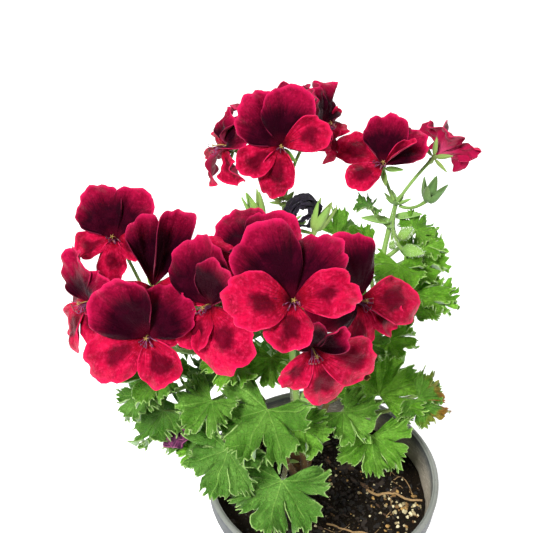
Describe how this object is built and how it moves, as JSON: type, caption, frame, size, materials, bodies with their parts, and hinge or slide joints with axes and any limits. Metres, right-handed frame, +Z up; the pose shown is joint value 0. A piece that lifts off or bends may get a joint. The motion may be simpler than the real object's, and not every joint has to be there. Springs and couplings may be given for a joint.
{
  "type": "potted regal pelargonium",
  "caption": "Bushy flowering pelargonium with toothed lobed leaves and umbels of ruffled dark-blotched crimson blooms, growing in a round tapered plastic pot.",
  "frame": {"origin": "centre of the pot's foot, on the surface that the pot stands on", "axes": "+Z up; -Y is the side that most of the blooms face"},
  "size_m": [0.2113, 0.1839, 0.313],
  "materials": {
    "pot_plastic": "weathered mid-grey plastic with a lighter rim and dirt streaks",
    "soil": "near-black potting soil with cream perlite and bark bits",
    "woody_stem": "rough tan bark",
    "leaf": "soft hairy mid-green with lighter margins and veins",
    "petal": "velvety crimson with near-black blotches",
    "withered_petal": "dry, nearly black"
  },
  "bodies": {
    "root": {"pot": "pot_plastic", "soil": "soil", "woody_base": "woody_stem", "leafy_stem_back": "leaf", "leafy_stem_right": "leaf", "leafy_stem_front": "leaf", "leafy_stem_left": "leaf", "leafy_stem_low": "leaf", "leafy_stem_rear": "leaf", "bloom_back_1": "petal", "bloom_back_2": "petal", "bloom_back_3": "petal", "bloom_back_4": "petal", "bloom_right_1": "petal", "bloom_right_2": "petal", "bloom_left_1": "petal", "bloom_left_2": "petal", "bloom_left_3": "petal", "bloom_left_4": "petal", "bloom_front_1": "petal", "bloom_front_2": "petal", "bloom_front_3": "petal", "bloom_front_4": "petal", "bloom_front_5": "petal", "bloom_front_6": "withered_petal"}
  },
  "joints": []
}
